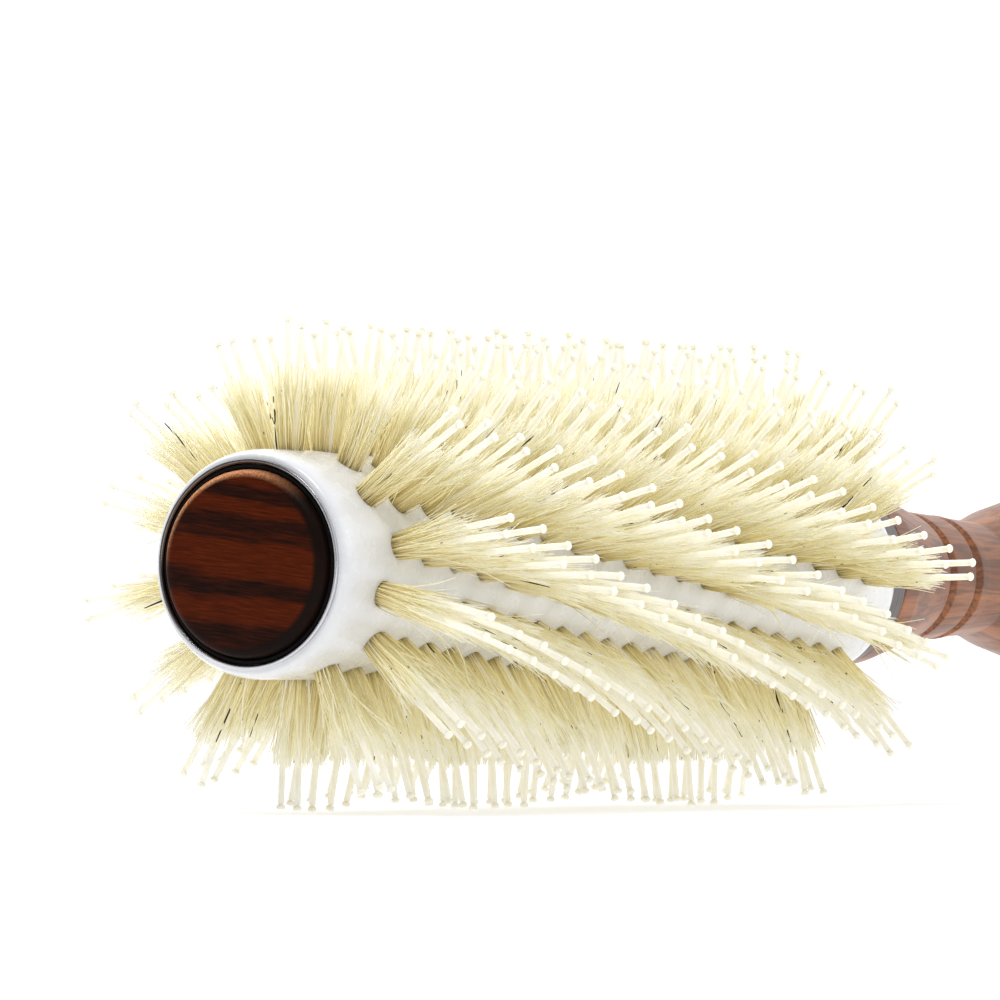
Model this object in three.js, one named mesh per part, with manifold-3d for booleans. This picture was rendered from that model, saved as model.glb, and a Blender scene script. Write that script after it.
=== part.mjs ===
// Round barrel hair brush: a white tubular barrel whose helical rows of holes are filled with
// boar bristle tufts and nylon pins, on a turned wooden handle. All sizes are in millimetres.
// The brush lies along +X: the origin is the centre of the wooden end disc's flat face,
// the barrel follows it, and the handle's butt is at the far +X end.
import * as THREE from "three";
import { mergeGeometries, mergeVertices } from "three/addons/utils/BufferGeometryUtils.js";
import Module from "manifold-3d";

const wasm = await Module();
wasm.setup();

// Driving dimensions.
const OVERALL_LENGTH = 240;
const BARREL_R = 11;
const BARREL_BORE_R = 7.7;
const ROW_COUNT = 14;
const TUFTS_PER_ROW = 19;
const TUFT_PITCH = 0.467 * BARREL_R;
const FIRST_TUFT_X = 10.7;
const TWIST_PER_MM = 0.01127; // how far a row turns about X, in radians
const FIRST_ROW_ANGLE = 1.282; // from +Z towards -Y, at the end disc's face
const BRISTLE_TIP_R = 1.76 * BARREL_R;
const PIN_TIP_R = 2.2 * BARREL_R;
const CLEARANCE = 0.1; // between coaxial pieces turned with the same facets
const ROUND_FACETS = 28;
const BORE_FACETS = 14;

// Rows. Each row of tufts is bound to one strip inside the barrel, and so is each row of pins.
// The two strips lie side by side, and y is measured across them from the middle of the holes.
const HOLE_WIDTH = 2.5;
const STRIP = { innerR: 6.5, outerR: 7.2, endMargin: 0.5 };
const TUFT = { rootHalfLength: 0.7, tipHalfLength: 2, rootY: [-0.85, 0.05], tipY: [-1.4, 0.5] };
const PIN = { rootHalfLength: 0.8, tipX: [0.75, 1.3], forkR: 9, rootY: [0.3, 0.7], lean: 0.055 };

// Front end, from the disc's face backwards.
const DISC = { r: 9, thickness: 3.1, edgeRound: 1, pocketR: 3.4, pocketDepth: 1.5 };
const SEAT = { outerR: 9.5, innerR: 9.1, frontX: 1.1, floorX: 3.4, backX: 4.5, bevel: 0.1 };
const CUP = { outerR: 10, innerR: 9.6, frontX: 0.9, floorX: 4.6, backX: 5.5, bevel: 0.15 };
const SCREW = { headR: 3, headX: 1.8, headThickness: 1.5, shankR: 1.5, tipX: 22, pointLength: 4 };
const SCREW_FACETS = 14;
const SCREW_HOLE_R = SCREW.shankR + CLEARANCE;

// Barrel.
const BARREL_FRONT_X = 1.3;
const BARREL_BACK_X = 110.4;
const SHOULDER = { length: 2.5, drop: 0.72 };

// Handle, from the ferrule to the butt.
const TENON = { r: 5.5, frontX: CUP.backX + CLEARANCE, pilotDepth: 19 };
const FERRULE = { flangeR: 9.7, flangeLength: 4, spigotR: 7.3, spigotLength: 4.5, edgeRound: 0.4 };
const FLANGE_X = BARREL_BACK_X + CLEARANCE;
const FLANGE_BACK_X = FLANGE_X + FERRULE.flangeLength;
const COLLAR_X = FLANGE_BACK_X + CLEARANCE;
const COLLAR_R = 9.6;
const NECK_R = 6.7;
const WAIST = { x: 145, r: 6.1 };
const GROOVE = { depth: 0.65, width: 1.8 };
const GRIP_R = 10.4;
const BUTT = { r: 8.1, faceR: 3.5, round: 4 };

// Turns a closed outline of [x, r] points about the X axis.
function turned(outline, facets = ROUND_FACETS) {
  const points = outline.map(([x, r]) => new THREE.Vector2(r, x));
  const closed = outline[0][1] === 0 ? points : [...points, points[0].clone()];
  return new THREE.LatheGeometry(closed, facets).rotateZ(-Math.PI / 2);
}

// Points of a quarter ellipse from one [x, r] point to another. It leaves the first point
// along X when alongFirst is true, and along the radius when it is false.
function quarterRound([x0, r0], [x1, r1], alongFirst, steps = 4) {
  return Array.from({ length: steps + 1 }, (_, i) => {
    const turn = (i / steps) * (Math.PI / 2);
    const slow = 1 - Math.cos(turn);
    const quick = Math.sin(turn);
    return alongFirst
      ? [x0 + (x1 - x0) * quick, r0 + (r1 - r0) * slow]
      : [x0 + (x1 - x0) * slow, r0 + (r1 - r0) * quick];
  });
}

function toSolid(geometry) {
  const bare = geometry.clone();
  bare.deleteAttribute("normal");
  bare.deleteAttribute("uv");
  const merged = mergeVertices(bare, 1e-4);
  return new wasm.Manifold(
    new wasm.Mesh({
      numProp: 3,
      vertProperties: merged.getAttribute("position").array,
      triVerts: new Uint32Array(merged.index.array),
    }),
  );
}

function toGeometry(solid) {
  const { vertProperties, triVerts } = solid.getMesh();
  return new THREE.BufferGeometry()
    .setAttribute("position", new THREE.BufferAttribute(vertProperties, 3))
    .setIndex(new THREE.BufferAttribute(triVerts, 1));
}

// A row's tufts along X. Every second row starts half a pitch nearer the end disc.
function tuftXs(row) {
  const startX = FIRST_TUFT_X - (row % 2 ? TUFT_PITCH / 2 : 0);
  return Array.from({ length: TUFTS_PER_ROW }, (_, k) => startX + k * TUFT_PITCH);
}

function rowAngle(row, x) {
  return FIRST_ROW_ANGLE + (row * 2 * Math.PI) / ROW_COUNT + TWIST_PER_MM * x;
}

// A comb that stands on the row's strip: toothAt gives the [x, r] outline of the tooth at one
// tuft, and yAt gives the comb's two sides at radius r. The comb is cut flat in the XZ plane,
// then turned about X by the row's own helix.
function combGeometry(row, toothAt, yAt) {
  const xs = tuftXs(row);
  const teeth = xs.flatMap(toothAt);
  const startX = teeth[0][0] - STRIP.endMargin;
  const endX = teeth.at(-1)[0] + STRIP.endMargin;
  const outline = [[startX, STRIP.outerR], ...teeth, [endX, STRIP.outerR]];
  outline.push([endX, STRIP.innerR], [startX, STRIP.innerR]);
  const shape = new THREE.Shape(outline.map(([x, r]) => new THREE.Vector2(x, r)));
  const comb = new THREE.ExtrudeGeometry(shape, { depth: 1, bevelEnabled: false });
  const position = comb.getAttribute("position");
  for (let i = 0; i < position.count; i++) {
    const x = position.getX(i);
    const r = position.getY(i);
    const y = yAt(r)[position.getZ(i) > 0.5 ? 0 : 1];
    const angle = rowAngle(row, x);
    const turnedY = y * Math.cos(angle) - r * Math.sin(angle);
    const turnedZ = y * Math.sin(angle) + r * Math.cos(angle);
    position.setXYZ(i, x, turnedY, turnedZ);
  }
  return comb;
}

// Bristle tufts flare both ways from their roots to their tips.
function tuftRowGeometry(row) {
  const toothAt = (x) => [
    [x - TUFT.rootHalfLength, STRIP.outerR],
    [x - TUFT.tipHalfLength, BRISTLE_TIP_R],
    [x + TUFT.tipHalfLength, BRISTLE_TIP_R],
    [x + TUFT.rootHalfLength, STRIP.outerR],
  ];
  const yAt = (r) => (r > STRIP.outerR ? TUFT.tipY : TUFT.rootY);
  return combGeometry(row, toothAt, yAt);
}

// Each tuft has two nylon pins that fork from one root and lean away from the bristle.
function pinRowGeometry(row) {
  const toothAt = (x) => [
    [x - PIN.rootHalfLength, STRIP.outerR],
    [x - PIN.tipX[1], PIN_TIP_R],
    [x - PIN.tipX[0], PIN_TIP_R],
    [x, PIN.forkR],
    [x + PIN.tipX[0], PIN_TIP_R],
    [x + PIN.tipX[1], PIN_TIP_R],
    [x + PIN.rootHalfLength, STRIP.outerR],
  ];
  const yAt = (r) => PIN.rootY.map((y) => y + PIN.lean * Math.max(0, r - STRIP.outerR));
  return combGeometry(row, toothAt, yAt);
}

// Barrel: a tube with rounded shoulders, counterbored at the front for the metal cup,
// with a hole through its wall for every tuft.
function barrelGeometry(rows) {
  const lipR = BARREL_R - SHOULDER.drop;
  const counterboreR = CUP.outerR + CLEARANCE;
  const counterboreX = CUP.backX + CLEARANCE;
  const body = turned([
    [BARREL_FRONT_X, 0],
    ...quarterRound([BARREL_FRONT_X, lipR], [BARREL_FRONT_X + SHOULDER.length, BARREL_R], false),
    ...quarterRound([BARREL_BACK_X - SHOULDER.length, BARREL_R], [BARREL_BACK_X, lipR], true),
    [BARREL_BACK_X, 0],
  ]);
  const counterbore = turned([
    [BARREL_FRONT_X - 1, 0],
    [BARREL_FRONT_X - 1, counterboreR],
    [counterboreX, counterboreR],
    [counterboreX, 0],
  ]);
  const bore = turned(
    [
      [counterboreX - 1, 0],
      [counterboreX - 1, BARREL_BORE_R],
      [BARREL_BACK_X + 1, BARREL_BORE_R],
      [BARREL_BACK_X + 1, 0],
    ],
    BORE_FACETS,
  );
  const holes = rows.flatMap((row) =>
    tuftXs(row).map((x) =>
      new THREE.BoxGeometry(HOLE_WIDTH, HOLE_WIDTH, BARREL_R - STRIP.innerR + 1)
        .translate(0, 0, (BARREL_R + STRIP.innerR + 1) / 2)
        .rotateX(rowAngle(row, x))
        .translate(x, 0, 0),
    ),
  );
  const tube = toSolid(body).subtract(toSolid(counterbore)).subtract(toSolid(bore));
  return toGeometry(tube.subtract(toSolid(mergeGeometries(holes))));
}

// Wooden disc with a rounded front edge and a pocket behind for the screw head.
function endDiscGeometry() {
  const pocketX = DISC.thickness - DISC.pocketDepth;
  return turned([
    [0, 0],
    ...quarterRound([0, DISC.r - DISC.edgeRound], [DISC.edgeRound, DISC.r], false),
    [DISC.thickness, DISC.r],
    [DISC.thickness, DISC.pocketR],
    [pocketX, DISC.pocketR],
    [pocketX, 0],
  ]);
}

// Open cup with a screw hole in its floor: the metal cup and the black seat inside it.
function cupGeometry({ outerR, innerR, frontX, floorX, backX, bevel }) {
  return turned([
    [frontX, outerR],
    [backX, outerR],
    [backX, SCREW_HOLE_R],
    [floorX, SCREW_HOLE_R],
    [floorX, innerR],
    [frontX + bevel, innerR],
    [frontX, innerR + bevel],
  ]);
}

// Pan-head wood screw that draws the cup and seat against the end of the handle's tenon.
function screwGeometry() {
  const underHeadX = SCREW.headX + SCREW.headThickness;
  const crown = quarterRound([SCREW.headX, 1.5], [underHeadX - 0.6, SCREW.headR], false, 3);
  return turned(
    [
      [SCREW.headX, 0],
      ...crown,
      [underHeadX, SCREW.headR],
      [underHeadX, SCREW.shankR],
      [SCREW.tipX - SCREW.pointLength, SCREW.shankR],
      [SCREW.tipX, 0],
    ],
    SCREW_FACETS,
  );
}

// Metal ferrule: a flange between barrel and handle, with a spigot that centres the barrel.
function ferruleGeometry() {
  const { flangeR, spigotR, edgeRound } = FERRULE;
  const innerR = TENON.r + CLEARANCE;
  const spigotX = FLANGE_X - FERRULE.spigotLength;
  return turned([
    [spigotX, spigotR],
    [FLANGE_X, spigotR],
    [FLANGE_X, flangeR - edgeRound],
    [FLANGE_X + edgeRound, flangeR],
    [FLANGE_BACK_X - edgeRound, flangeR],
    [FLANGE_BACK_X, flangeR - edgeRound],
    [FLANGE_BACK_X, innerR],
    [spigotX, innerR],
  ]);
}

// Points of a V groove cut into a stretch of handle of radius r.
function groove(x, r) {
  return [
    [x - GROOVE.width / 2, r],
    [x, r - GROOVE.depth],
    [x + GROOVE.width / 2, r],
  ];
}

// Turned handle: a tenon that runs the whole barrel, a bell-shaped collar, two grooves,
// a narrow waist and a swelling grip that ends in a rounded butt.
function handleGeometry() {
  const pilotX = TENON.frontX + TENON.pilotDepth;
  const buttX = OVERALL_LENGTH - BUTT.round;
  const grip = new THREE.SplineCurve([
    new THREE.Vector2(139.5, NECK_R - 0.3),
    new THREE.Vector2(WAIST.x, WAIST.r),
    new THREE.Vector2(153, 7.75),
    new THREE.Vector2(168, 9.8),
    new THREE.Vector2(186, GRIP_R),
    new THREE.Vector2(212, 9.3),
    new THREE.Vector2(buttX, BUTT.r),
  ]);
  return turned([
    [pilotX, 0],
    [pilotX, SCREW_HOLE_R],
    [TENON.frontX, SCREW_HOLE_R],
    [TENON.frontX, TENON.r],
    [COLLAR_X, TENON.r],
    [COLLAR_X, COLLAR_R],
    [118, COLLAR_R - 0.2],
    [122, 8.6],
    [126, 7.7],
    ...groove(130, 7),
    ...groove(136.4, NECK_R),
    ...grip.getPoints(12).map(({ x, y }) => [x, y]),
    ...quarterRound([buttX, BUTT.r - 0.1], [OVERALL_LENGTH, BUTT.faceR], true),
    [OVERALL_LENGTH, 0],
  ]);
}

// Materials.
const whitePlastic = new THREE.MeshStandardMaterial({ color: 0xe9e8e4, roughness: 0.32 });
const cupMetal = new THREE.MeshStandardMaterial({ color: 0xb9bbbf, roughness: 0.3, metalness: 1 });
const darkMetal = new THREE.MeshStandardMaterial({ color: 0x77726f, roughness: 0.35, metalness: 1 });
const steel = new THREE.MeshStandardMaterial({ color: 0x9a9a9c, roughness: 0.35, metalness: 1 });
const blackPlastic = new THREE.MeshStandardMaterial({ color: 0x0c0b0b, roughness: 0.6 });
const discWood = new THREE.MeshStandardMaterial({ color: 0x5b2410, roughness: 0.3 });
const handleWood = new THREE.MeshStandardMaterial({ color: 0x8a4a28, roughness: 0.35 });
const bristle = new THREE.MeshStandardMaterial({ color: 0xd9c98a, roughness: 0.5 });
const nylon = new THREE.MeshStandardMaterial({ color: 0xf7f1d6, roughness: 0.3 });

const rows = Array.from({ length: ROW_COUNT }, (_, row) => row);
const brush = new THREE.Group();

function addPiece(name, geometry, material) {
  const piece = new THREE.Mesh(geometry, material);
  piece.name = name;
  brush.add(piece);
}

addPiece("end_disc", endDiscGeometry(), discWood);
addPiece("disc_seat", cupGeometry(SEAT), blackPlastic);
addPiece("front_cup", cupGeometry(CUP), cupMetal);
addPiece("cup_screw", screwGeometry(), steel);
addPiece("barrel", barrelGeometry(rows), whitePlastic);
addPiece("ferrule", ferruleGeometry(), darkMetal);
addPiece("handle", handleGeometry(), handleWood);
for (const row of rows) {
  const number = String(row + 1).padStart(2, "0");
  addPiece(`bristle_row_${number}`, tuftRowGeometry(row), bristle);
  addPiece(`pin_row_${number}`, pinRowGeometry(row), nylon);
}

export default brush;
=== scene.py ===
import math

import bmesh
import bpy
import numpy as np
from mathutils import Matrix, Vector


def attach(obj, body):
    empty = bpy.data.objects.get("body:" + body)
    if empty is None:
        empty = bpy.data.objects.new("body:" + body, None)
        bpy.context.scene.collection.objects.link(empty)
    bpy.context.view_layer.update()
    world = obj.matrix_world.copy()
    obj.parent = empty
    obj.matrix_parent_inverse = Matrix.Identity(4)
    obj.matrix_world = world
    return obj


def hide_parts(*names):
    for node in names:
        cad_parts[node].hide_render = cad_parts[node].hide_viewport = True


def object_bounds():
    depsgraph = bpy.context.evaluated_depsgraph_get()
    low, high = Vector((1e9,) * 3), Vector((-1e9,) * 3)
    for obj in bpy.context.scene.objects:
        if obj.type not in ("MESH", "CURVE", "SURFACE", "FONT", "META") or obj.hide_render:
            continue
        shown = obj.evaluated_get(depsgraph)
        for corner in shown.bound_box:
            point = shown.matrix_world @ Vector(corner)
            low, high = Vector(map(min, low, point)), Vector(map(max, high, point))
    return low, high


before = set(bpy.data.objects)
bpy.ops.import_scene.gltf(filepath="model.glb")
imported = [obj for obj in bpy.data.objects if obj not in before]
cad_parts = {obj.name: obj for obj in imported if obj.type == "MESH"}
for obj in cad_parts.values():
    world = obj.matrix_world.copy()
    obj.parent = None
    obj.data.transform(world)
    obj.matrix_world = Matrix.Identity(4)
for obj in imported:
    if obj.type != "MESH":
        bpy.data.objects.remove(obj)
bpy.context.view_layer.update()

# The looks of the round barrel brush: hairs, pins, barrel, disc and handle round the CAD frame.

MM = 0.001
SEED = 20

# The brush's own sizes, in millimetres, the same as the solids'.
BARREL_R = 11.0
BORE_R = 7.7
ROWS = 14
TUFTS = 19                  # in each row
PITCH = 0.467 * BARREL_R    # along the barrel, from one tuft to the next
FIRST_TUFT_X = 10.7
TWIST = 0.01127             # of the rows about the barrel, in radians per millimetre
FIRST_ROW_ANGLE = 1.282
HOLE_R = 1.2
RIM = 0.16                  # the width of the rounded edge of a tuft hole
BRISTLE_TIP_R = 19.8
PIN_TIP_R = 24.1
ROOT_R = 7.4                # where hairs and pins start, inside the barrel's bore
DISC_R = 9.0
RING_X = 0.9                # the edge of the metal cup, which shows as a ring

scene = bpy.context.scene


# ---------------------------------------------------------------- meshes
def build(name, verts, faces, stands_for, colours=None):
    """A smooth mesh from points in millimetres. faces is a list of integer arrays, one per face size."""
    mesh = bpy.data.meshes.new(name)
    verts = np.asarray(verts, np.float32) * MM
    mesh.vertices.add(len(verts))
    mesh.vertices.foreach_set("co", verts.ravel())
    loops = np.concatenate([f.ravel() for f in faces]).astype(np.int32)
    sizes = np.concatenate([np.full(len(f), f.shape[1]) for f in faces])
    mesh.loops.add(len(loops))
    mesh.loops.foreach_set("vertex_index", loops)
    mesh.polygons.add(len(sizes))
    mesh.polygons.foreach_set("loop_start", (np.cumsum(sizes) - sizes).astype(np.int32))
    mesh.update(calc_edges=True)
    mesh.polygons.foreach_set("use_smooth", np.ones(len(sizes), bool))
    if colours is not None:
        layer = mesh.color_attributes.new("strand", "FLOAT_COLOR", "POINT")
        layer.data.foreach_set("color", colours.astype(np.float32).ravel())
    obj = bpy.data.objects.new(name, mesh)
    scene.collection.objects.link(obj)
    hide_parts(*stands_for)
    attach(obj, "root")
    return obj


def outward(obj):
    """Points the faces of a closed mesh outwards."""
    bm = bmesh.new()
    bm.from_mesh(obj.data)
    bmesh.ops.recalc_face_normals(bm, faces=bm.faces)
    bm.to_mesh(obj.data)
    bm.free()
    obj.data.update()


def rounded(corners, steps=5):
    """An outline of [x, r, round] corners as points, with an arc at each corner that has a radius."""
    out = []
    for i, (x, r, radius) in enumerate(corners):
        here = np.array([x, r], float)
        if radius <= 0:
            out.append(here)
            continue
        before = np.array(corners[i - 1][:2]) - here
        after = np.array(corners[(i + 1) % len(corners)][:2]) - here
        lb, la = np.linalg.norm(before), np.linalg.norm(after)
        before, after = before / lb, after / la
        half = math.acos(max(-1, min(1, float(before @ after)))) / 2
        reach = min(radius / math.tan(half), 0.49 * lb, 0.49 * la)
        a, b = here + before * reach, here + after * reach
        for step in range(steps + 1):
            t = step / steps
            out.append((1 - t) ** 2 * a + 2 * t * (1 - t) * here + t * t * b)
    return out


def lathe(name, corners, stands_for, segments=192):
    """Turns a closed outline of [x, r, round] corners about the X axis."""
    outline = rounded(corners)
    turn = np.arange(segments) * 2 * math.pi / segments
    verts, rings = [], []
    for x, r in outline:
        start = len(verts)
        if r < 1e-6:
            verts.append((x, 0, 0))
            rings.append(np.full(segments, start))
        else:
            verts.extend((x, -r * math.sin(t), r * math.cos(t)) for t in turn)
            rings.append(np.arange(start, start + segments))
    quads, tris = [], []
    joins = len(rings) if outline[0][1] > 1e-6 else len(rings) - 1
    for i in range(joins):
        a, b = rings[i], rings[(i + 1) % len(rings)]
        a2, b2 = np.roll(a, -1), np.roll(b, -1)
        if a[0] == a[1]:
            tris.append(np.stack([a, b2, b], 1))
        elif b[0] == b[1]:
            tris.append(np.stack([a, a2, b], 1))
        else:
            quads.append(np.stack([a, a2, b2, b], 1))
    obj = build(name, verts, quads + tris, stands_for)
    outward(obj)
    obj.data.set_sharp_from_angle(angle=math.radians(50))
    return obj


def row_angle(row, x):
    """The angle of a row about the barrel at x, from +Z towards -Y."""
    return FIRST_ROW_ANGLE + row * 2 * math.pi / ROWS + TWIST * x


def tuft_xs(row):
    """Where a row's tufts stand along the barrel. Every second row starts half a pitch nearer the disc."""
    start = FIRST_TUFT_X - (PITCH / 2 if row % 2 else 0)
    return [start + k * PITCH for k in range(TUFTS)]


# ---------------------------------------------------------------- barrel
EDGE = 8                    # steps along each side of a hole's cell
LOOP = 4 * EDGE
AROUND = ROWS * EDGE        # steps round the whole barrel
FRONT_X, BACK_X = 1.3, 110.4
SHOULDER, DROP = 2.5, 0.72  # how far each end's rounding runs along and inwards
STEP_X, COUNTERBORE_R = 5.6, 10.0
BORE_START_X = STEP_X + 0.02
SHOULDER_STEPS = 8
WELD_DIGITS = 3             # points that agree to this many decimals of a millimetre are one


def on_cylinder(x, angle, r):
    """Points on a cylinder about the X axis."""
    x, angle = np.broadcast_arrays(x, angle)
    return np.stack([x, -r * np.sin(angle), r * np.cos(angle)], -1)


def cell_loops(row, xc):
    """The loops of points from a cell's edge on the outside, down its hole, to its edge on the bore."""
    mid = row_angle(row, 0)
    half_x, half_a = PITCH / 2, math.pi / ROWS
    s = np.arange(EDGE) / EDGE * 2 - 1
    one = np.ones(EDGE)
    ex = np.concatenate([s, one, -s, -one]) * half_x + xc
    ea = np.concatenate([-one, s, one, -s]) * half_a + mid + TWIST * ex
    centre = row_angle(row, xc)
    alpha = np.arctan2(BARREL_R * (ea - centre), ex - xc)
    radial = np.array([0, -math.sin(centre), math.cos(centre)])
    across = np.array([0, -math.cos(centre), -math.sin(centre)])

    def in_hole(rho, r, sink):
        dt = rho * np.sin(alpha)
        height = np.sqrt(r * r - dt * dt) - sink
        base = np.zeros((LOOP, 3))
        base[:, 0] = xc + rho * np.cos(alpha)
        return base + dt[:, None] * across + height[:, None] * radial

    def surface(rho, r, w):
        dx, dt = rho * np.cos(alpha), rho * np.sin(alpha)
        cx, ca = xc + dx, centre + np.arcsin(dt / r)
        bx = np.clip(ex, BORE_START_X, None) if r < BARREL_R else ex
        return on_cylinder(cx + (bx - cx) * w, ca + (ea - ca) * w, r)

    rim = HOLE_R + RIM
    return [
        surface(rim, BARREL_R, 1.0),
        surface(rim, BARREL_R, 0.6),
        surface(rim, BARREL_R, 0.25),
        surface(rim, BARREL_R, 0.0),
        in_hole(HOLE_R + RIM * 0.35, BARREL_R, RIM * 0.22),
        in_hole(HOLE_R + RIM * 0.05, BARREL_R, RIM * 0.6),
        in_hole(HOLE_R, BARREL_R, RIM * 1.2),
        in_hole(HOLE_R, BORE_R, 0.0),
        surface(HOLE_R, BORE_R, 0.45),
        surface(HOLE_R, BORE_R, 1.0),
    ]


def make_barrel():
    """The tube with its rimmed holes, one mesh, in two walls that meet in the holes and at the ends."""
    verts, quads = [], []
    total = 0

    def add(points):
        nonlocal total
        verts.append(points.reshape(-1, 3))
        start = total
        total += len(verts[-1])
        return start

    for row in range(ROWS):
        for xc in tuft_xs(row):
            loops = [add(p) + np.arange(LOOP) for p in cell_loops(row, xc)]
            for a, b in zip(loops, loops[1:]):
                quads.append(np.stack([a, np.roll(a, -1), np.roll(b, -1), b], 1))
        # Rows that start or end half a pitch short are filled up with a plain patch.
        low = FIRST_TUFT_X - PITCH
        high = FIRST_TUFT_X + (TUFTS - 0.5) * PITCH
        x0, x1 = (high - PITCH / 2, high) if row % 2 else (low, low + PITCH / 2)
        for r in (BARREL_R, BORE_R):
            xs = np.linspace(x0, x1, EDGE // 2 + 1)
            turn = row_angle(row, 0) + (np.arange(EDGE + 1) / EDGE * 2 - 1) * math.pi / ROWS
            gx, ga = np.meshgrid(xs, turn, indexing="ij")
            ga = ga + TWIST * gx
            if r < BARREL_R:
                gx = np.clip(gx, BORE_START_X, None)
            ids = add(on_cylinder(gx, ga, r)) + np.arange(gx.size).reshape(gx.shape)
            q = np.stack([ids[:-1, :-1], ids[1:, :-1], ids[1:, 1:], ids[:-1, 1:]], -1)
            quads.append(q.reshape(-1, 4))
    # The two ends, from the outside round to the bore.
    lip = BARREL_R - DROP
    arc = np.linspace(0, math.pi / 2, SHOULDER_STEPS + 1)[1:]
    front = [(low, BARREL_R), (FRONT_X + SHOULDER, BARREL_R)]
    front += [(FRONT_X + SHOULDER * (1 - math.sin(t)), lip + DROP * math.cos(t)) for t in arc]
    front += [(FRONT_X, COUNTERBORE_R), (STEP_X, COUNTERBORE_R), (STEP_X, BORE_R), (BORE_START_X, BORE_R)]
    back = [(high, BARREL_R), (BACK_X - SHOULDER, BARREL_R)]
    back += [(BACK_X - SHOULDER * (1 - math.sin(t)), lip + DROP * math.cos(t)) for t in arc]
    back += [(BACK_X, BORE_R), (high, BORE_R)]
    turn = FIRST_ROW_ANGLE - math.pi / ROWS + np.arange(AROUND) * 2 * math.pi / AROUND
    for outline, x in ((front, low), (back, high)):
        rings = [add(on_cylinder(px, turn + TWIST * x, pr)) + np.arange(AROUND) for px, pr in outline]
        for a, b in zip(rings, rings[1:]):
            quads.append(np.stack([a, np.roll(a, -1), np.roll(b, -1), b], 1))
    points = np.concatenate(verts)
    grid = np.round(points, WELD_DIGITS)
    _, first, merged = np.unique(grid, axis=0, return_index=True, return_inverse=True)
    merged = merged.reshape(-1)
    obj = build("barrel_shell", points[first], [merged[np.concatenate(quads)]], ["barrel"])
    outward(obj)
    obj.data.set_sharp_from_angle(angle=math.radians(60))
    return obj


# ---------------------------------------------------------------- bristles and pins
def tubes(paths, radii, sides):
    """Closed tubes along many paths at once. paths is (n, points, 3) and radii is (n, points)."""
    n, m, _ = paths.shape
    along = np.gradient(paths, axis=1)
    along /= np.linalg.norm(along, axis=2, keepdims=True)
    ref = np.zeros_like(along)
    ref[..., 0] = 1
    side = np.cross(along, ref)
    side /= np.linalg.norm(side, axis=2, keepdims=True)
    other = np.cross(along, side)
    turn = np.arange(sides) * 2 * math.pi / sides
    ring = side[:, :, None] * np.cos(turn)[:, None] + other[:, :, None] * np.sin(turn)[:, None]
    verts = paths[:, :, None] + ring * radii[:, :, None, None]
    ids = np.arange(n * m * sides).reshape(n, m, sides)
    nxt = np.roll(ids, -1, axis=2)
    quads = np.stack([ids[:, :-1], nxt[:, :-1], nxt[:, 1:], ids[:, 1:]], -1).reshape(-1, 4)
    ends = [ids[:, 0, ::-1], ids[:, -1, :]]
    return verts.reshape(-1, 3), quads, np.concatenate(ends)


def frame_at(row, x):
    """The directions round the barrel and straight out of it, at one tuft."""
    a = row_angle(row, x)
    return np.array([0, -math.cos(a), -math.sin(a)]), np.array([0, -math.sin(a), math.cos(a)])


PIN_SPOTS = ((0.12, -0.5), (-0.12, 0.5))    # the two pins of a tuft, along and round the barrel
PIN_GAP = 0.36              # what hairs keep clear about a pin
HAIR_R = 0.08
HAIR_SIDES = 3
HAIR_LEVELS = np.array([0.0, 0.24, 0.38, 0.52, 0.66, 0.82, 1.0])
HAIR_TAPER = np.array([1, 1, 0.98, 0.93, 0.86, 0.74, 0.42])
FREE_LEVEL = 0.24           # below this level a hair stands straight in its hole
FEWEST_HAIRS, MOST_HAIRS = 118, 149
SHORT_PART, STRAY_PART, DARK_PART = 0.16, 0.05, 0.006
DARK_THICKNESS = 1.6


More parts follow.
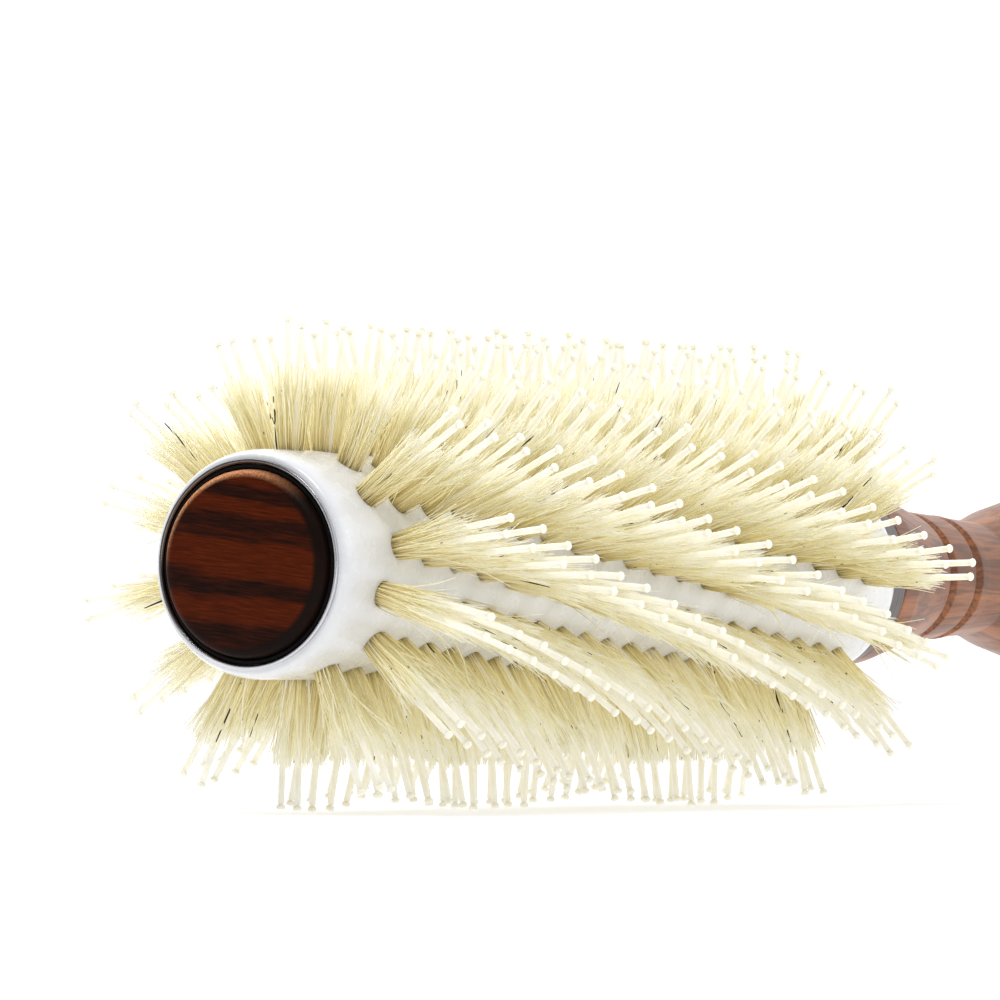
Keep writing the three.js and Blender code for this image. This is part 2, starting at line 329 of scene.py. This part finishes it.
def make_bristle_row(row, rng):
    """One row of tufts as single hairs. The colour layer holds tone, dark or not, level and a spare draw."""
    paths, radii, tones = [], [], []
    for x in tuft_xs(row):
        across, radial = frame_at(row, x)
        count = int(rng.integers(FEWEST_HAIRS, MOST_HAIRS + 1))
        spots = []
        while len(spots) < count:
            u, v = rng.uniform(-1, 1, 2) * (HOLE_R - HAIR_R)
            clear = all(math.hypot(u - pu, v - pv) > PIN_GAP for pu, pv in PIN_SPOTS)
            if math.hypot(u, v) < HOLE_R - HAIR_R and clear:
                spots.append((u, v))
        spots = np.array(spots)
        lean = rng.normal(0, 0.3, 2)
        spread = np.array([rng.uniform(1.75, 2.3), rng.uniform(1.45, 1.85)])
        tip = BRISTLE_TIP_R - np.abs(rng.normal(0, 0.75, count)) - rng.uniform(0, 0.5)
        short = rng.random(count) < SHORT_PART
        tip[short] -= rng.uniform(0.8, 3.6, short.sum())
        bend = rng.normal(0, 0.32, (count, 2))
        stray = rng.random(count) < STRAY_PART
        bend[stray] += rng.normal(0, 1.5, (stray.sum(), 2))
        kink = rng.normal(0, 0.16, (count, 2))
        t = HAIR_LEVELS[None, :, None]
        rise = np.clip((t - FREE_LEVEL) / (1 - FREE_LEVEL), 0, 1)
        offset = spots[:, None] * (1 + (spread - 1) * rise ** 1.1)
        offset = offset + (lean + bend[:, None]) * rise ** 2 + kink[:, None] * np.sin(rise * math.pi * 1.5)
        height = ROOT_R + (tip[:, None] - ROOT_R) * HAIR_LEVELS[None]
        path = np.zeros((count, len(HAIR_LEVELS), 3))
        path[..., 0] = x + offset[..., 0]
        path += offset[..., 1:2] * across + height[..., None] * radial
        paths.append(path)
        thick = HAIR_R * rng.uniform(0.75, 1.15, (count, 1))
        dark = rng.random((count, 1)) < DARK_PART
        thick[dark] *= DARK_THICKNESS
        radii.append(thick * HAIR_TAPER)
        tone = np.zeros((count, len(HAIR_LEVELS), 4))
        tone[..., 0] = np.clip(rng.random((count, 1)) + rng.normal(0, 0.12), 0, 1)
        tone[..., 1] = dark
        tone[..., 2] = HAIR_LEVELS[None]
        tone[..., 3] = rng.random((count, 1))
        tones.append(tone)
    verts, quads, ends = tubes(np.concatenate(paths), np.concatenate(radii), HAIR_SIDES)
    colours = np.repeat(np.concatenate(tones).reshape(-1, 4), HAIR_SIDES, axis=0)
    number = f"{row + 1:02d}"
    return build(f"bristles_{number}", verts, [quads, ends], [f"bristle_row_{number}"], colours)


SHAFT_R, BALL_R = 0.33, 0.45
SHAFT_STEPS, BALL_STEPS = 9, 7
BALL_LENGTH = 0.78          # of the ball along the pin, against its width
PIN_SPREAD = 0.86           # how far a pin's tip lies from its tuft's middle, round the barrel
PIN_SIDES = 12


def make_pin_row(row, rng):
    """One row of ball-tipped pins, two to a tuft, that fork outwards."""
    paths, radii = [], []
    ball = np.linspace(0.25, 1, BALL_STEPS) * math.pi
    for x in tuft_xs(row):
        across, radial = frame_at(row, x)
        for side, (u, v) in zip((-1, 1), PIN_SPOTS):
            tip = PIN_TIP_R - abs(rng.normal(0, 0.22)) - (0.35 if side > 0 else 0)
            end_u = u * 2.2 + rng.normal(0, 0.3)
            end_v = side * PIN_SPREAD + rng.normal(0, 0.14)
            bow = rng.normal(0, 0.12, 2)
            centre = tip - BALL_R
            neck = centre - BALL_R * 0.8
            heights = list(np.linspace(ROOT_R, neck, SHAFT_STEPS))
            sizes = [SHAFT_R] * SHAFT_STEPS
            for b in ball[::-1]:
                h = centre + BALL_R * BALL_LENGTH * math.cos(b)
                if h > neck + 0.02:
                    heights.append(h)
                    sizes.append(max(BALL_R * math.sin(b), 0.03))
            heights = np.array(heights)
            rise = np.clip((heights - BARREL_R) / (tip - BARREL_R), 0, 1)
            du = u + (end_u - u) * rise + bow[0] * np.sin(rise * math.pi)
            dv = v + (end_v - v) * rise + bow[1] * np.sin(rise * math.pi)
            path = np.zeros((len(heights), 3))
            path[:, 0] = x + du
            path += dv[:, None] * across + heights[:, None] * radial
            paths.append(path)
            radii.append(sizes)
    verts, quads, ends = tubes(np.array(paths), np.array(radii), PIN_SIDES)
    number = f"{row + 1:02d}"
    return build(f"pins_{number}", verts, [quads, ends], [f"pin_row_{number}"])


# ---------------------------------------------------------------- materials
class Surface:
    """A node material with a Principled shader, written in short calls."""

    def __init__(self, name, **values):
        self.mat = bpy.data.materials.new(name)
        self.mat.use_nodes = True
        self.tree = self.mat.node_tree
        self.tree.nodes.clear()
        out = self.tree.nodes.new("ShaderNodeOutputMaterial")
        self.bsdf = self.tree.nodes.new("ShaderNodeBsdfPrincipled")
        self.tree.links.new(self.bsdf.outputs[0], out.inputs[0])
        for key, value in values.items():
            self.bsdf.inputs[key.replace("_", " ")].default_value = value

    def put(self, value, socket):
        """Links a socket's output, or sets a number or a colour."""
        if isinstance(value, bpy.types.NodeSocket):
            self.tree.links.new(value, socket)
        elif hasattr(value, "__len__"):
            socket.default_value = (*value, 1)[: len(socket.default_value)]
        else:
            socket.default_value = value

    def coords(self, scale=(1, 1, 1), rotation=(0, 0, 0)):
        """Object coordinates in millimetres, turned, then scaled."""
        src = self.tree.nodes.new("ShaderNodeTexCoord").outputs["Object"]
        turned = self.tree.nodes.new("ShaderNodeMapping")
        turned.inputs["Rotation"].default_value = rotation
        self.put(src, turned.inputs["Vector"])
        sized = self.tree.nodes.new("ShaderNodeMapping")
        sized.inputs["Scale"].default_value = [s / MM for s in scale]
        self.put(turned.outputs[0], sized.inputs["Vector"])
        return sized.outputs[0]

    def axis(self, vector, index):
        n = self.tree.nodes.new("ShaderNodeSeparateXYZ")
        self.put(vector, n.inputs[0])
        return n.outputs[index]

    def noise(self, vector, scale, detail=3.0, rough=0.55, distortion=0.0):
        n = self.tree.nodes.new("ShaderNodeTexNoise")
        for key, value in (("Vector", vector), ("Scale", scale), ("Detail", detail),
                           ("Roughness", rough), ("Distortion", distortion)):
            self.put(value, n.inputs[key])
        return n.outputs["Fac"]

    def cells(self, vector, scale):
        """The distance to the nearest of some scattered points."""
        n = self.tree.nodes.new("ShaderNodeTexVoronoi")
        self.put(vector, n.inputs["Vector"])
        n.inputs["Scale"].default_value = scale
        return n.outputs["Distance"]

    def ramp(self, fac, stops):
        n = self.tree.nodes.new("ShaderNodeValToRGB")
        el = n.color_ramp.elements
        while len(el) < len(stops):
            el.new(0.5)
        for e, (pos, col) in zip(el, stops):
            e.position = pos
            e.color = (*col, 1) if hasattr(col, "__len__") else (col, col, col, 1)
        self.put(fac, n.inputs["Fac"])
        return n.outputs["Color"]

    def calc(self, op, *values, clamp=False):
        n = self.tree.nodes.new("ShaderNodeMath")
        n.operation = op
        n.use_clamp = clamp
        for value, socket in zip(values, n.inputs):
            self.put(value, socket)
        return n.outputs[0]

    def mix(self, fac, a, b, blend="MIX"):
        n = self.tree.nodes.new("ShaderNodeMix")
        n.data_type = "RGBA"
        n.blend_type = blend
        for value, socket in ((fac, n.inputs[0]), (a, n.inputs[6]), (b, n.inputs[7])):
            self.put(value, socket)
        return n.outputs[2]

    def finish(self, colour, roughness=None, bump=None, strength=0.2, depth=0.1):
        """Connects the shader and gives the material. The bump's depth is in millimetres."""
        self.put(colour, self.bsdf.inputs["Base Color"])
        if roughness is not None:
            self.put(roughness, self.bsdf.inputs["Roughness"])
        if bump is not None:
            n = self.tree.nodes.new("ShaderNodeBump")
            n.inputs["Strength"].default_value = strength
            n.inputs["Distance"].default_value = depth * MM
            self.put(bump, n.inputs["Height"])
            self.put(n.outputs[0], self.bsdf.inputs["Normal"])
        return self.mat


def white_plastic():
    """Glossy white plastic with a few specks and scuffs."""
    s = Surface("white_gloss", Coat_Weight=0.4, Coat_Roughness=0.12)
    p = s.coords()
    base = s.ramp(s.noise(p, 0.12), [(0.35, (0.75, 0.76, 0.785)), (0.65, (0.80, 0.81, 0.835))])
    size = s.calc("MULTIPLY_ADD", s.noise(p, 0.35, 1), 0.2, -0.085)
    specks = s.calc("LESS_THAN", s.cells(p, 0.6), size)
    scuffs = s.calc("GREATER_THAN", s.noise(s.coords((1.6, 6, 6)), 1.2, 2), 0.73)
    dirt = s.calc("MAXIMUM", s.calc("MULTIPLY", specks, 0.7), s.calc("MULTIPLY", scuffs, 0.25))
    colour = s.mix(dirt, base, (0.2, 0.18, 0.16))
    rough = s.ramp(s.noise(p, 0.5), [(0.3, 0.2), (0.7, 0.33)])
    return s.finish(colour, rough, s.noise(p, 0.25, 2), 0.08, 0.2)


def disc_wood():
    """Dark red-brown wood with near-black bands that run across the disc and dip a little."""
    s = Surface("disc_wood", Specular_IOR_Level=0.045)
    grain_turn = (math.radians(-7), 0, 0)
    ramp_per_mm = 0.05
    drift = s.noise(s.coords((0.3, 0.07, 0.3), grain_turn), 1.0, 3)
    wobble = s.noise(s.coords((1, 0.16, 1), grain_turn), 1.1, 4)
    fray = s.noise(s.coords((4, 0.13, 4), grain_turn), 1.0, 4, 0.65)
    z = s.axis(s.coords(rotation=grain_turn), 2)
    for waves, height in ((drift, 2.4), (wobble, 0.8), (fray, 1.1)):
        z = s.calc("ADD", z, s.calc("MULTIPLY_ADD", waves, height, -height / 2))
    place = s.calc("MULTIPLY_ADD", z, ramp_per_mm, 0.5)

    def at(height):
        """A ramp position from a height in disc radii."""
        return 0.5 + height * DISC_R * ramp_per_mm

    bands = [(-1.1, 0.3), (-0.95, 0.3), (-0.86, 1.0), (-0.68, 1.0), (-0.58, 0.1),
             (-0.38, 0.05), (-0.32, 1.0), (-0.18, 1.0), (-0.1, 0.05),
             (0.2, 0.0), (0.26, 0.95), (0.32, 0.6), (0.37, 1.0), (0.45, 0.9), (0.5, 0.1),
             (0.64, 0.1), (0.69, 1.0), (0.8, 0.95), (0.87, 0.1)]
    streak = s.ramp(place, [(at(height), amount) for height, amount in bands])
    fibre = s.noise(s.coords((6, 0.35, 6), grain_turn), 1.0, 5, 0.65)
    red = s.ramp(fibre, [(0.3, (0.040, 0.0053, 0.0009)), (0.55, (0.080, 0.0112, 0.0016)),
                         (0.8, (0.138, 0.024, 0.0035))])
    dark = s.ramp(fibre, [(0.35, (0.0045, 0.0025, 0.002)), (0.75, (0.018, 0.005, 0.003))])
    amount = s.calc("MULTIPLY", streak, s.ramp(fibre, [(0.3, 1.0), (0.75, 0.72)]))
    colour = s.mix(amount, red, dark)
    pores = s.calc("GREATER_THAN", s.noise(s.coords((9, 1.2, 9), grain_turn), 1.0, 2), 0.7)
    colour = s.mix(s.calc("MULTIPLY", pores, 0.35), colour, (0.02, 0.007, 0.004))
    # The rounded edge is painted: a coppery painted highlight above and towards +Y, and nearly black painted
    # shade below and towards -Y.
    y, up = s.axis(s.coords(), 1), s.axis(s.coords(), 2)
    square = s.calc("ADD", s.calc("MULTIPLY", y, y), s.calc("MULTIPLY", up, up))
    radius_cm = s.calc("MULTIPLY", s.calc("SQRT", square), 0.1)
    # Speckles for the painted highlight on the edge.
    highlight_speckle = s.ramp(s.noise(s.coords(), 5.0, 3), [(0.35, 0.35), (0.65, 1.0)])

    def painted_edge_light(colour, start, towards, gain, offset, tint, most, speckle=None):
        """Paints a tint for light and shade on the edge outside a radius (in cm), on the side that looks
        towards a (Y, Z) direction.
        """
        edge = s.ramp(radius_cm, [(start, 0.0), (start + 0.045, 1.0)])
        facing = s.calc("ADD", s.calc("MULTIPLY", y, towards[0] / DISC_R),
                        s.calc("MULTIPLY", up, towards[1] / DISC_R))
        amount = s.calc("MULTIPLY", edge, s.calc("MULTIPLY_ADD", facing, gain, offset, clamp=True))
        if speckle is not None:
            amount = s.calc("MULTIPLY", amount, speckle)
        return s.mix(s.calc("MULTIPLY", amount, most), colour, tint)

    # Painted highlight: coppery and speckled, on the edge above and towards +Y.
    colour = painted_edge_light(colour, 0.82, (0.40, 0.92), 1.6, -0.5, (0.85, 0.38, 0.17), 0.9, highlight_speckle)
    # Painted shade: nearly black, on the edge below and towards -Y.
    colour = painted_edge_light(colour, 0.775, (-0.85, -0.53), 1.3, 0.55, (0.007, 0.004, 0.003), 0.95)
    rough = s.ramp(fibre, [(0.3, 0.36), (0.7, 0.5)])
    return s.finish(colour, rough, fibre, 0.2, 0.05)


def handle_wood():
    """The handle's wood: reddish brown, with dark streaks along its length."""
    s = Surface("handle_wood", Specular_IOR_Level=0.3, Coat_Weight=0.15, Coat_Roughness=0.25)
    along = s.coords((0.016, 0.42, 0.42))
    warp = s.noise(s.coords((0.012, 0.16, 0.16)), 1.0, 3, 0.5, 0.4)
    streak = s.noise(along, 1.0, 4, 0.55, 0.3)
    fibre = s.noise(s.coords((0.1, 4.5, 4.5)), 1.0, 4, 0.6)
    red = s.ramp(fibre, [(0.3, (0.24, 0.078, 0.023)), (0.5, (0.33, 0.115, 0.037)),
                         (0.75, (0.43, 0.165, 0.058))])
    dark = s.ramp(fibre, [(0.3, (0.045, 0.014, 0.007)), (0.75, (0.10, 0.034, 0.016))])
    band = s.ramp(s.calc("MULTIPLY_ADD", warp, 0.55, s.calc("MULTIPLY", streak, 0.6)),
                  [(0.5, 0.0), (0.57, 0.85), (0.61, 0.2), (0.67, 0.95), (0.74, 0.4)])
    pores = s.calc("GREATER_THAN", s.noise(s.coords((0.9, 9, 9)), 1.0, 2), 0.69)
    colour = s.mix(s.calc("MULTIPLY", band, 0.85), red, dark)
    colour = s.mix(s.calc("MULTIPLY", pores, 0.4), colour, (0.05, 0.016, 0.008))
    rough = s.ramp(fibre, [(0.3, 0.33), (0.7, 0.47)])
    return s.finish(colour, rough, fibre, 0.25, 0.06)


def metal(name, low, high, rough_low, rough_high, shaded=None):
    """Slightly uneven metal. `shaded` tints its upper +Y side, to stand for a dark reflection."""
    s = Surface(name, Metallic=1.0)
    turned = s.noise(s.coords((5, 0.25, 0.25)), 1.0, 2)
    tint = s.ramp(turned, [(0.3, low), (0.7, high)])
    if shaded:
        y, up = s.axis(s.coords(), 1), s.axis(s.coords(), 2)
        facing = s.calc("ADD", s.calc("MULTIPLY", y, 0.08), s.calc("MULTIPLY", up, 0.06))
        tint = s.mix(s.calc("MULTIPLY_ADD", facing, 1.6, 0.3, clamp=True), tint, shaded)
    wear = s.noise(s.coords(), 0.4, 2)
    rough = s.ramp(wear, [(0.3, rough_low), (0.7, rough_high)])
    return s.finish(tint, rough)


def black_plastic():
    """Dull black plastic."""
    s = Surface("black_plastic", Specular_IOR_Level=0.08)
    p = s.coords()
    colour = s.ramp(s.noise(p, 2.0), [(0.3, (0.003, 0.0027, 0.0025)), (0.7, (0.007, 0.006, 0.006))])
    rough = s.ramp(s.noise(p, 5.0), [(0.3, 0.5), (0.7, 0.7)])
    return s.finish(colour, rough, s.noise(p, 9.0), 0.3, 0.03)


def bristle():
    """Boar hair: straw, then pale cream at the tip, each hair its own tone. The dull brown at the hole is
    painted shade, and a weak glow of the hair's own colour is painted light.
    """
    s = Surface("bristle", Specular_IOR_Level=0.18, Emission_Strength=0.16)
    strand = s.tree.nodes.new("ShaderNodeAttribute")
    strand.attribute_name = "strand"
    parts = s.tree.nodes.new("ShaderNodeSeparateColor")
    s.put(strand.outputs["Color"], parts.inputs[0])
    tone, black, along = parts.outputs
    other = strand.outputs["Alpha"]
    # The first stop, dull brown at the hole, is painted shade at the foot of each hair.
    colour = s.ramp(along, [(0.27, (0.33, 0.255, 0.10)), (0.37, (0.76, 0.65, 0.33)),
                            (0.5, (0.90, 0.81, 0.48)), (0.75, (0.96, 0.90, 0.62)),
                            (1.0, (0.98, 0.95, 0.78))])
    pale = s.ramp(tone, [(0.0, (0.76, 0.73, 0.60)), (0.3, (0.94, 0.93, 0.88)), (0.6, (1, 1, 1)),
                         (1.0, (1, 1, 1))])
    colour = s.mix(1.0, colour, pale, "MULTIPLY")
    white = s.calc("GREATER_THAN", tone, 0.86)
    colour = s.mix(s.calc("MULTIPLY", white, 0.55), colour, (0.93, 0.91, 0.83))
    p = s.coords()
    speckled_hair = s.calc("GREATER_THAN", other, 0.955)
    brown = s.calc("MULTIPLY", speckled_hair, s.calc("GREATER_THAN", s.noise(p, 1.3, 1), 0.68))
    colour = s.mix(s.calc("MULTIPLY", brown, 0.95), colour, (0.06, 0.03, 0.015))
    patch = s.calc("GREATER_THAN", s.noise(p, 0.22, 1), 0.46)
    colour = s.mix(s.calc("MULTIPLY", black, patch), colour, (0.012, 0.009, 0.008))
    # The hair's colour also feeds a weak glow: painted light for light that passes through the hairs.
    s.put(colour, s.bsdf.inputs["Emission Color"])
    rough = s.ramp(tone, [(0.0, 0.5), (1.0, 0.34)])
    return s.finish(colour, rough, s.noise(s.coords(), 6.0, 2), 0.15, 0.02)


def nylon():
    """Creamy, slightly clear nylon, with a weak cream glow that is painted light."""
    s = Surface("nylon", Subsurface_Weight=0.2, Subsurface_Scale=0.001, Coat_Weight=0.2, Coat_Roughness=0.2,
                Specular_IOR_Level=0.35, Emission_Strength=0.09)
    s.bsdf.inputs["Subsurface Radius"].default_value = (1.0, 0.85, 0.6)
    # A weak cream glow: painted light on the pins.
    s.bsdf.inputs["Emission Color"].default_value = (1.0, 0.96, 0.84, 1)
    p = s.coords()
    colour = s.ramp(s.noise(p, 0.4), [(0.3, (0.93, 0.89, 0.74)), (0.7, (0.97, 0.95, 0.85))])
    rough = s.ramp(s.noise(p, 1.5), [(0.3, 0.24), (0.7, 0.36)])
    return s.finish(colour, rough, s.noise(p, 2.5, 2), 0.12, 0.05)


def paint(obj, material):
    """Gives an object this material and no other."""
    obj.data.materials.clear()
    obj.data.materials.append(material)


# ---------------------------------------------------------------- the brush
rng = np.random.default_rng(SEED)
paint(make_barrel(), white_plastic())
bristle_material, nylon_material = bristle(), nylon()
for row in range(ROWS):
    paint(make_bristle_row(row, rng), bristle_material)
    paint(make_pin_row(row, rng), nylon_material)

FINE = 256                  # steps round the pieces seen closest
disc = lathe("wooden_disc", [(0, 0, 0), (0, DISC_R, 1.05), (3.1, DISC_R, 0.1), (3.1, 3.4, 0),
                             (1.6, 3.4, 0), (1.6, 0, 0)], ["end_disc"], FINE)
paint(disc, disc_wood())
seat = lathe("black_seat", [(1.1, 9.5, 0.05), (4.5, 9.5, 0.1), (4.5, 1.6, 0), (3.4, 1.6, 0), (3.4, 9.1, 0),
                            (1.2, 9.1, 0.04), (1.1, 9.2, 0.04)], ["disc_seat"])
paint(seat, black_plastic())
cup = lathe("metal_cup", [(RING_X, 10.0, 0.07), (5.5, 10.0, 0.2), (5.5, 1.6, 0), (4.6, 1.6, 0), (4.6, 9.6, 0),
                          (1.05, 9.6, 0.04), (RING_X, 9.75, 0.04)], ["front_cup"], FINE)
paint(cup, metal("cup_metal", (0.60, 0.60, 0.63), (0.70, 0.70, 0.73), 0.16, 0.22, (0.20, 0.19, 0.19)))
ferrule = lathe("ferrule_ring", [(106.0, 7.3, 0.2), (110.5, 7.3, 0), (110.5, 9.7, 0.35), (114.5, 9.7, 0.35),
                                 (114.5, 5.6, 0), (106.0, 5.6, 0)], ["ferrule"])
paint(ferrule, metal("dark_metal", (0.11, 0.10, 0.10), (0.19, 0.175, 0.17), 0.3, 0.45))
TENON = [(24.6, 0, 0), (24.6, 1.6, 0), (5.6, 1.6, 0), (5.6, 5.5, 0.2), (114.6, 5.5, 0)]
COLLAR = [(114.6, 9.6, 0.4), (118, 9.4, 3), (122, 8.6, 4), (126, 7.7, 4)]
GROOVES = [(129.1, 7.05, 0.35), (130, 6.35, 0.4), (130.9, 6.95, 0.35),
           (135.5, 6.7, 0.35), (136.4, 6.05, 0.4), (137.3, 6.65, 0.35)]
GRIP = [(139.5, 6.4, 3), (145, 6.1, 4), (149.5, 6.85, 4), (153, 7.75, 6), (160, 9.0, 9),
        (168, 9.8, 9), (177, 10.25, 9), (186, 10.4, 9), (199, 10.0, 12), (212, 9.3, 12)]
BUTT = [(225, 8.6, 12), (236, 8.1, 3.5), (239.2, 5.9, 2.5), (240, 3.4, 2.2), (240, 0, 0)]
handle = lathe("turned_handle", TENON + COLLAR + GROOVES + GRIP + BUTT, ["handle"])
paint(handle, handle_wood())
paint(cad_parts["cup_screw"], metal("screw_steel", (0.4, 0.4, 0.41), (0.58, 0.58, 0.58), 0.25, 0.4))

# ---------------------------------------------------------------- floor, light and camera
REACH = 3.0
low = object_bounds()[0]
floor_mesh = bpy.data.meshes.new("floor")
corners = [(-REACH, -REACH, low.z), (REACH, -REACH, low.z), (REACH, REACH, low.z), (-REACH, REACH, low.z)]
floor_mesh.from_pydata(corners, [], [(0, 1, 2, 3)])
floor = bpy.data.objects.new("floor", floor_mesh)
scene.collection.objects.link(floor)
pale = Surface("pale_floor", Roughness=0.8, Specular_IOR_Level=0.1, Emission_Strength=0.56)
pale.bsdf.inputs["Emission Color"].default_value = (1, 1, 1, 1)
paint(floor, pale.finish(pale.ramp(pale.noise(pale.coords(), 0.02), [(0.3, 0.50), (0.7, 0.53)])))

# A white tent, open and dimmer on the side the end disc faces.
world = bpy.data.worlds.new("studio")
world.use_nodes = True
sky = world.node_tree
facing = sky.nodes.new("ShaderNodeVectorMath")
facing.operation = "DOT_PRODUCT"
facing.inputs[1].default_value = (0.94, 0.34, 0)    # towards the bright side
sky.links.new(sky.nodes.new("ShaderNodeTexCoord").outputs["Generated"], facing.inputs[0])
shade = sky.nodes.new("ShaderNodeMapRange")
sky.links.new(facing.outputs["Value"], shade.inputs["Value"])
for key, value in (("From Min", -0.62), ("From Max", 0.3), ("To Min", 0.16), ("To Max", 1.18)):
    shade.inputs[key].default_value = value
sky.links.new(shade.outputs[0], sky.nodes["Background"].inputs["Strength"])
sky.nodes["Background"].inputs["Color"].default_value = (1, 1, 1, 1)
scene.world = world


def area(name, where, target, size, power):
    """A round soft lamp. Places and size are in metres, power in watts."""
    lamp = bpy.data.lights.new(name, "AREA")
    lamp.shape = "DISK"
    lamp.size = size
    lamp.energy = power
    obj = bpy.data.objects.new(name, lamp)
    obj.location = where
    obj.rotation_mode = "QUATERNION"
    obj.rotation_quaternion = (Vector(where) - Vector(target)).to_track_quat("Z", "Y")
    scene.collection.objects.link(obj)


MIDDLE = (0.06, 0, 0)
area("key", (-0.30, -0.10, 0.55), MIDDLE, 0.3, 1.8)
area("fill", (0.25, -0.6, 0.25), MIDDLE, 0.4, 0.4)
area("back", (0.25, 0.35, 0.6), MIDDLE, 0.4, 3.2)

# The camera, from the photograph's angle: where the middle of the cup's edge sits in its view
# (right, down, forward), how the brush's axis turns and dips in it, in radians, and its focal
# length in picture widths.
RING_IN_VIEW = np.array([-2.18, 0.553, 83.12]) * BARREL_R
TURN, DIP = 0.538, 0.016
FOCAL = 9.635
SENSOR = 36                 # millimetres
along = np.array([math.cos(DIP) * math.sin(TURN), math.sin(DIP), math.cos(DIP) * math.cos(TURN)])
up = np.array([0, -1.0, 0])
up = up - (up @ along) * along
up /= np.linalg.norm(up)
side = np.cross(up, along)
if side[2] > 0:
    side = -side
basis = np.stack([along, -side, up])   # the brush's X, Y and Z in the camera's view
eye = basis @ (-RING_IN_VIEW) + np.array([RING_X, 0, 0])
right, down, forward = basis[:, 0], basis[:, 1], basis[:, 2]
camera_data = bpy.data.cameras.new("camera")
camera_data.sensor_width = SENSOR
camera_data.lens = FOCAL * SENSOR
camera_data.clip_start, camera_data.clip_end = 0.01, 50
camera = bpy.data.objects.new("camera", camera_data)
scene.collection.objects.link(camera)
turn_matrix = Matrix([[right[i], -down[i], -forward[i]] for i in range(3)]).to_4x4()
camera.matrix_world = Matrix.Translation(Vector(eye * MM)) @ turn_matrix
scene.camera = camera
scene.view_settings.view_transform = "Standard"
scene.view_settings.exposure = 0.0
